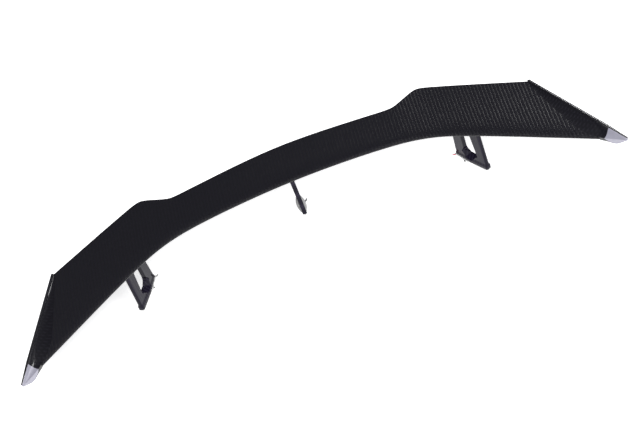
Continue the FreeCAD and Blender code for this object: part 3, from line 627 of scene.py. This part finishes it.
def finish_stands():
    """The stands, and the rubber and the release film on them."""
    for where in STANDS:
        blade = carbon(f"{where}_blade_carbon", blade_forward(where), UP, BLADE_DARK, BLADE_PAINTED_SHEEN)
        blade.set(Specular_IOR_Level=0.0, Coat_Weight=0.7, Coat_IOR=1.25)
        give([f"{where}_stand"], blade)
    gasket_rubber = moulded("gasket_rubber", grey(0.015), roughness=0.7, grain=900.0)
    give([f"{where}_gasket" for where in STANDS], gasket_rubber)
    foot_rubber = moulded("foot_rubber", grey(0.02), roughness=0.75, grain=700.0)
    give([f"{side}_foot_pad" for side in SIDES], foot_rubber)
    give([f"{where}_tape_liner" for where in STANDS], film("liner_film", LINER_WHITE))


def finish_fittings():
    """The foam, studs, screws and pull tabs of each stand."""
    foam_grey = foam("foam_grey", grey(0.62))
    black_steel = metal("black_steel", grey(0.12), roughness=0.35)
    red_film = film("red_tab", TAB_RED)
    grey_film = film("grey_tab", TAB_GREY)
    for where in STANDS:
        give([f"{where}_foam_tape"], foam_grey)
        give([f"{where}_deck_stud", f"{where}_stand_screws"], black_steel)
        threaded_stud(where, black_steel)
        pull_tab(where, red_film if where == "right" else grey_film)
        foam_piece(where, foam_grey)


# ---- studio ----------------------------------------------------------------------------------

def make_floor():
    """A pale floor just below the studs, which gives off some light of its own."""
    reach = 12.0
    gap = 0.5 * MM
    corners = [(-reach, -reach, 0), (reach, -reach, 0), (reach, reach, 0), (-reach, reach, 0)]
    mesh = bpy.data.meshes.new("floor")
    mesh.from_pydata(corners, [], [(0, 1, 2, 3)])
    look = Look("pale_floor", Roughness=0.9, Base_Color=grey(0.9))
    look.set(Emission_Color=grey(1.0), Emission_Strength=0.68)
    mesh.materials.append(look.material)
    floor = bpy.data.objects.new("floor", mesh)
    floor.location.z = cad_box[0][2] - gap
    bpy.context.scene.collection.objects.link(floor)


def soft_light(name, place, aim, size, power, shines=True):
    """A rectangular lamp. One that doesn't shine lights surfaces without showing in their gloss."""
    data = bpy.data.lights.new(name, "AREA")
    data.shape = "RECTANGLE"
    data.size, data.size_y = size
    data.energy = power
    lamp = bpy.data.objects.new(name, data)
    lamp.location = place
    lamp.rotation_euler = (Vector(aim) - Vector(place)).to_track_quat("-Z", "Y").to_euler()
    lamp.visible_glossy = shines
    bpy.context.scene.collection.objects.link(lamp)


def make_lights():
    """Soft light from just above the camera, and a small lamp that catches the right-hand tows.

    The key and the glint share a place, and only the glint, which is weaker, shows in glossy surfaces. So
    the wing is lit without a bright line along its leading edge.
    """
    key_place = (0.3, -2.4, 3.6)
    key_size = (3.0, 2.4)
    side_place = (2.1, 0.45, 2.0)
    side_aim = (0.6, -0.1, 0.1)
    side_size = (0.7, 0.7)
    soft_light("key", key_place, (0, 0, 0), key_size, power=200, shines=False)
    soft_light("glint", key_place, (0, 0, 0), key_size, power=100)
    soft_light("side", side_place, side_aim, side_size, power=22)


def make_world():
    """Pale where the camera looks past the floor, dim where glossy surfaces reflect the sky."""
    world = bpy.data.worlds.new("studio")
    world.use_nodes = True
    tree = world.node_tree
    sky = tree.nodes["Background"]
    sky.inputs["Color"].default_value = (0.09, 0.09, 0.1, 1.0)
    seen = tree.nodes.new("ShaderNodeBackground")
    seen.inputs["Color"].default_value = grey(1.0)
    path = tree.nodes.new("ShaderNodeLightPath")
    choice = tree.nodes.new("ShaderNodeMixShader")
    tree.links.new(path.outputs["Is Camera Ray"], choice.inputs[0])
    tree.links.new(sky.outputs[0], choice.inputs[1])
    tree.links.new(seen.outputs[0], choice.inputs[2])
    tree.links.new(choice.outputs[0], tree.nodes["World Output"].inputs["Surface"])
    bpy.context.scene.world = world


def make_camera():
    """45 degrees above the object's front, and rolled, so that the wing crosses the frame."""
    distance = 4.17
    target = Vector((0, -0.1282, 0.062))
    roll = math.radians(22.17)
    forward = (REAR - UP).normalized()
    upright = RIGHT.cross(forward)
    right = RIGHT * math.cos(roll) - upright * math.sin(roll)
    up = RIGHT * math.sin(roll) + upright * math.cos(roll)
    data = bpy.data.cameras.new("camera")
    data.lens = 85
    data.sensor_width = 36
    data.shift_x = 0.0194
    data.shift_y = 0.0103
    data.clip_end = 100
    camera = bpy.data.objects.new("camera", data)
    turn = Matrix((right, up, -forward)).transposed()
    camera.matrix_world = Matrix.Translation(target - forward * distance) @ turn.to_4x4()
    bpy.context.scene.collection.objects.link(camera)
    bpy.context.scene.camera = camera


finish_wing()
finish_end_plates()
finish_stands()
finish_fittings()
make_world()
make_floor()
make_lights()
make_camera()
bpy.context.scene.view_settings.view_transform = "Standard"
